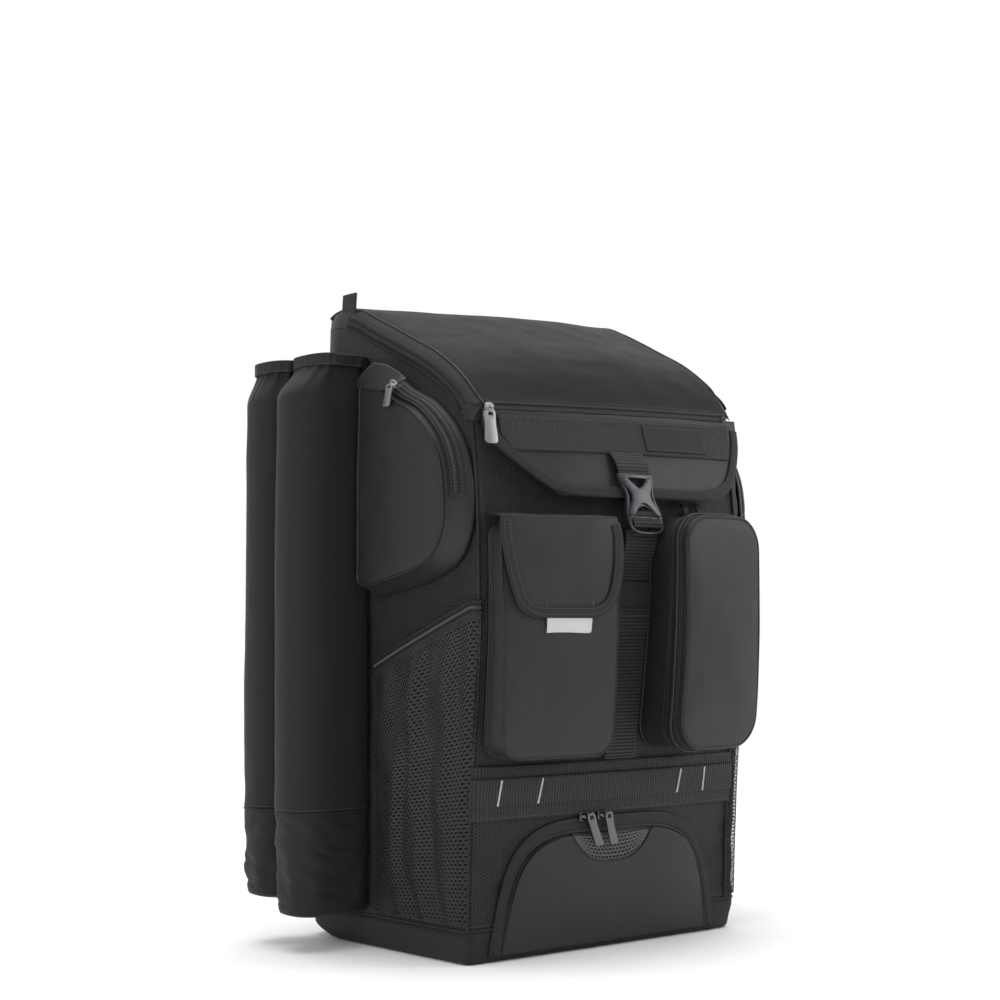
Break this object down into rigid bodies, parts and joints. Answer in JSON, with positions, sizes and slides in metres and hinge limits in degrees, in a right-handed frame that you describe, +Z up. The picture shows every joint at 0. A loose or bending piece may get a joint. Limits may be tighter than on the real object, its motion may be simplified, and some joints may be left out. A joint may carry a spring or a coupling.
{
  "type": "baseball bat backpack",
  "caption": "Upright sports backpack with bat sleeves on both sides, a buckled front flap, front and side pockets and a vented shoe door.",
  "frame": {"origin": "centre of the underside of the base, on the surface that the bag stands on", "axes": "+Z up, -Y out of the front with the pockets, -X towards the wearer's side that the picture shows on the left"},
  "size_m": [0.5192, 0.3995, 0.6431],
  "materials": {
    "coated_fabric": "smooth coated woven cloth, semi-matte",
    "ripstop_fabric": "woven ripstop cloth, matte",
    "neoprene": "smooth knitted foam cloth, matte",
    "webbing": "ribbed woven webbing",
    "netting": "open knitted mesh",
    "moulded_plastic": "moulded plastic, slightly glossy",
    "zip_tape": "woven zip tape with coil",
    "satin_metal": "satin plated metal",
    "dark_metal": "dark plated metal",
    "silver_tape": "silver-white woven tape"
  },
  "bodies": {
    "root": {"back_panel": "ripstop_fabric", "base_panel": "ripstop_fabric", "bat_sleeve_front_left": "neoprene", "bat_sleeve_front_left_base": "ripstop_fabric", "bat_sleeve_front_right": "neoprene", "bat_sleeve_front_right_base": "ripstop_fabric", "bat_sleeve_rear_left": "neoprene", "bat_sleeve_rear_left_base": "ripstop_fabric", "bat_sleeve_rear_right": "neoprene", "bat_sleeve_rear_right_base": "ripstop_fabric", "buckle_bar": "moulded_plastic", "buckle_latch": "moulded_plastic", "buckle_strap": "webbing", "centre_strip": "webbing", "daisy_band": "webbing", "edge_tab": "webbing", "flap_binding": "webbing", "flap_pocket": "coated_fabric", "front_flap": "coated_fabric", "hanging_loop_inner": "webbing", "hanging_loop_outer": "webbing", "haul_handle": "webbing", "label_patch": "coated_fabric", "lid_panel": "coated_fabric", "lid_puller": "satin_metal", "lid_zip_tape": "zip_tape", "lower_strap_left": "webbing", "lower_strap_right": "webbing", "main_body": "ripstop_fabric", "mesh_pocket_left": "netting", "mesh_pocket_right": "netting", "mesh_pocket_tape_left": "zip_tape", "mesh_pocket_tape_right": "zip_tape", "pocket_flap": "coated_fabric", "pocket_flap_binding": "webbing", "pocket_pull_tab": "silver_tape", "shoe_door": "coated_fabric", "shoe_door_tape": "zip_tape", "shoe_door_vent": "netting", "shoe_puller_left": "dark_metal", "shoe_puller_right": "dark_metal", "shoulder_strap_left": "neoprene", "shoulder_strap_right": "neoprene", "side_pocket_left": "coated_fabric", "side_pocket_right": "coated_fabric", "side_pocket_tape_left": "zip_tape", "side_pocket_tape_right": "zip_tape", "side_puller_left": "satin_metal", "side_puller_right": "satin_metal", "strap_adjuster_left": "moulded_plastic", "strap_adjuster_right": "moulded_plastic", "strip_keeper": "webbing", "webbing_band": "webbing", "wide_band": "webbing", "zip_pocket": "coated_fabric", "zip_pocket_tape": "zip_tape"}
  },
  "joints": []
}
